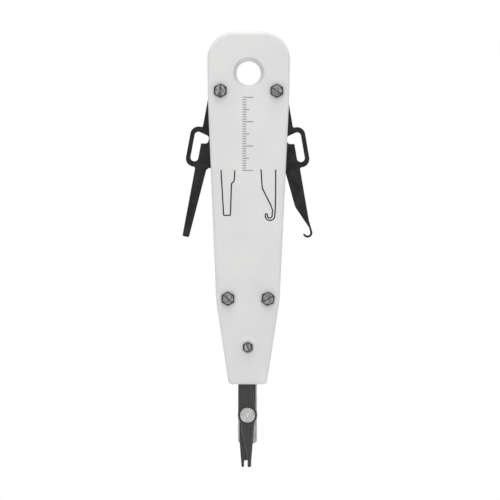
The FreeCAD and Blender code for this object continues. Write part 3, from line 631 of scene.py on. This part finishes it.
def spring_tree():
    """A compression spring along +Z from its given foot, with both end coils closed."""
    tree, given = size_tree("closed_end_spring", (
        "Foot", "Height", "Mean Radius", "Wire Diameter", "Turns", "Closed Turns"))
    spiral = add(tree, "GeometryNodeCurveSpiral", {"Resolution": SPIRAL_STEPS, "Height": 0.0},
                 {"Rotations": given["Turns"], "Start Radius": given["Mean Radius"],
                  "End Radius": given["Mean Radius"]})
    along = add(tree, "GeometryNodeSplineParameter").outputs["Factor"]
    end_share = add(tree, "ShaderNodeMath", {"operation": "DIVIDE"},
                    {0: given["Closed Turns"], 1: given["Turns"]})
    start_share = add(tree, "ShaderNodeMath", {"operation": "SUBTRACT", 0: 1.0}, {1: end_share.outputs[0]})
    three_wires = add(tree, "ShaderNodeMath", {"operation": "MULTIPLY", 1: 3.0}, {0: given["Wire Diameter"]})
    open_rise = add(tree, "ShaderNodeMath", {"operation": "SUBTRACT"},
                    {0: given["Height"], 1: three_wires.outputs[0]})
    bottom = add(tree, "ShaderNodeMapRange", None,
                 {0: along, 2: end_share.outputs[0], 4: given["Wire Diameter"]})
    middle = add(tree, "ShaderNodeMapRange", None,
                 {0: along, 1: end_share.outputs[0], 2: start_share.outputs[0], 4: open_rise.outputs[0]})
    top = add(tree, "ShaderNodeMapRange", {2: 1.0},
              {0: along, 1: start_share.outputs[0], 4: given["Wire Diameter"]})
    half_wire = add(tree, "ShaderNodeMath", {"operation": "MULTIPLY", 1: 0.5}, {0: given["Wire Diameter"]})
    rise = add(tree, "ShaderNodeMath", {"operation": "ADD"}, {0: given["Foot"], 1: half_wire.outputs[0]})
    for part in (bottom, middle, top):
        rise = add(tree, "ShaderNodeMath", {"operation": "ADD"}, {0: rise.outputs[0], 1: part.outputs[0]})
    lift = add(tree, "ShaderNodeCombineXYZ", None, {"Z": rise.outputs[0]})
    coil = add(tree, "GeometryNodeSetPosition", None, {0: spiral.outputs[0], "Offset": lift.outputs[0]})
    section = add(tree, "GeometryNodeCurvePrimitiveCircle", {"Resolution": WIRE_SIDES},
                  {"Radius": half_wire.outputs[0]})
    wire = add(tree, "GeometryNodeCurveToMesh", {"Fill Caps": True},
               {"Curve": coil.outputs[0], "Profile Curve": section.outputs[0]})
    finish_tree(tree, given, wire.outputs[0])
    return tree


# Oil-tempered wire: dark blue-grey that turns brown in places, with a soft shine.
oil_tempered_wire = finish(
    "oil_tempered_wire", {"Metallic": 1.0}, (SPRING_STEEL, SPRING_STEEL_WARM),
    WIRE_CLOUD, WIRE_CLOUD, (0.28, 0.4), 0.002)
spring_low, spring_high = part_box("main_spring")
spring = grow("coil_spring", spring_tree(), bpy.data.meshes.new("spring_start"), {
    "Foot": spring_low[2],
    "Height": spring_high[2] - spring_low[2],
    "Mean Radius": (spring_high[1] - spring_low[1]) / 2 - SPRING_WIRE / 2 * MM,
    "Wire Diameter": SPRING_WIRE * MM,
    "Turns": SPRING_TURNS,
    "Closed Turns": CLOSED_TURNS,
    "Material": oil_tempered_wire,
})
for face in spring.data.polygons:
    face.use_smooth = True
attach(spring, "handle")
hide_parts("main_spring")
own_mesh(spring)
# Drawn rod: light grey with faint lines along it.
drawn_steel = finish(
    "drawn_rod_steel", {"Metallic": 1.0}, (ROD_STEEL, ROD_STEEL_DULL), DRAWN_STREAKS, DRAWN_STREAKS,
    (0.25, 0.38), 0.004)
wear(drawn_steel, "spring_rod", "spring_seat")
# Stamped plate: a duller grey, with broad marks across the handle.
stamped_steel = finish(
    "stamped_plate_steel", {"Metallic": 1.0}, (PLATE_STEEL, PLATE_STEEL_DULL),
    PLATE_STREAKS, PLATE_STREAKS, (0.34, 0.5), 0.004)
wear(stamped_steel, "stop_plate", "retaining_clip")

# ------------------------------------------------------------------ camera, floor and light
# A long lens square on to the front face, a white floor well below the tip, and an even white
# surround that is brightest overhead, with one large soft light in front and one above.
VIEW_WIDTH = 205.0
VIEW_MIDDLE = (0.8, -72.6)
CAMERA_AWAY = 3.0
SENSOR = 36.0
CLIP_END = 20.0
LEAN = 0.18

camera_data = bpy.data.cameras.new("camera")
camera_data.sensor_width = SENSOR
camera_data.lens = SENSOR * (CAMERA_AWAY + front_face) / (VIEW_WIDTH * MM)
camera_data.clip_end = CLIP_END
camera = bpy.data.objects.new("camera", camera_data)
camera.location = (VIEW_MIDDLE[0] * MM, -CAMERA_AWAY, VIEW_MIDDLE[1] * MM)
camera.rotation_euler = (math.radians(90), -math.radians(LEAN), 0)
bpy.context.scene.collection.objects.link(camera)
bpy.context.scene.camera = camera

FLOOR_DROP = 0.12
FLOOR_HALF = 6.0
FLOOR_GLOW = 1.0
FLOOR_SIDES = ((-1, -1), (1, -1), (1, 1), (-1, 1))
floor_z = cad_low[2] - FLOOR_DROP
floor_data = bpy.data.meshes.new("floor")
floor_corners = [(sx * FLOOR_HALF, sy * FLOOR_HALF, floor_z) for sx, sy in FLOOR_SIDES]
floor_data.from_pydata(floor_corners, [], [(0, 1, 2, 3)])
floor = bpy.data.objects.new("floor", floor_data)
bpy.context.scene.collection.objects.link(floor)
# White floor: lit by itself, so it shows an even white with no shadow.
floor_white = bpy.data.materials.new("white_floor")
floor_white.use_nodes = True
floor_white.node_tree.nodes.clear()
glow = add(floor_white.node_tree, "ShaderNodeEmission", {"Color": (1, 1, 1, 1), "Strength": FLOOR_GLOW})
add(floor_white.node_tree, "ShaderNodeOutputMaterial", None, {"Surface": glow.outputs[0]})
floor_data.materials.append(floor_white)

SKY_TOP = 1.05
SKY_LEVEL = 0.14
SKY_FROM = -0.2
world = bpy.data.worlds.new("white_surround")
world.use_nodes = True
sky = world.node_tree
sky.nodes.clear()
outward = add(sky, "ShaderNodeTexCoord").outputs["Generated"]
upward = add(sky, "ShaderNodeSeparateXYZ", None, {0: outward}).outputs["Z"]
strength = add(sky, "ShaderNodeMapRange", {1: SKY_FROM, 2: 1.0, 3: SKY_LEVEL, 4: SKY_TOP}, {0: upward})
around = add(sky, "ShaderNodeBackground", {"Color": (1, 1, 1, 1)}, {"Strength": strength.outputs[0]})
behind = add(sky, "ShaderNodeBackground", {"Color": (1, 1, 1, 1), "Strength": 1.0})
seen = add(sky, "ShaderNodeLightPath").outputs["Is Camera Ray"]
sky_mix = add(sky, "ShaderNodeMixShader", None, {0: seen, 1: around.outputs[0], 2: behind.outputs[0]})
add(sky, "ShaderNodeOutputWorld", None, {"Surface": sky_mix.outputs[0]})
bpy.context.scene.world = world
bpy.context.scene.view_settings.view_transform = "Standard"

FRONT_PLACE = (0, -1.0, 0.15)
FRONT_AIM = (0, 0, -0.07)
FRONT_SIDE = 1.3
FRONT_POWER = 2.25
TOP_PLACE = (0, -0.25, 0.8)
TOP_AIM = (0, 0, -0.02)
TOP_SIDE = 0.5
TOP_POWER = 3.2


def soft_light(name, place, aim, side, power):
    """A square soft light at place, turned towards aim."""
    data = bpy.data.lights.new(name, "AREA")
    data.size = side
    data.energy = power
    lamp = bpy.data.objects.new(name, data)
    lamp.location = place
    lamp.rotation_euler = (Vector(aim) - Vector(place)).to_track_quat("-Z", "Y").to_euler()
    bpy.context.scene.collection.objects.link(lamp)


soft_light("front_light", FRONT_PLACE, FRONT_AIM, FRONT_SIDE, FRONT_POWER)
soft_light("top_light", TOP_PLACE, TOP_AIM, TOP_SIDE, TOP_POWER)
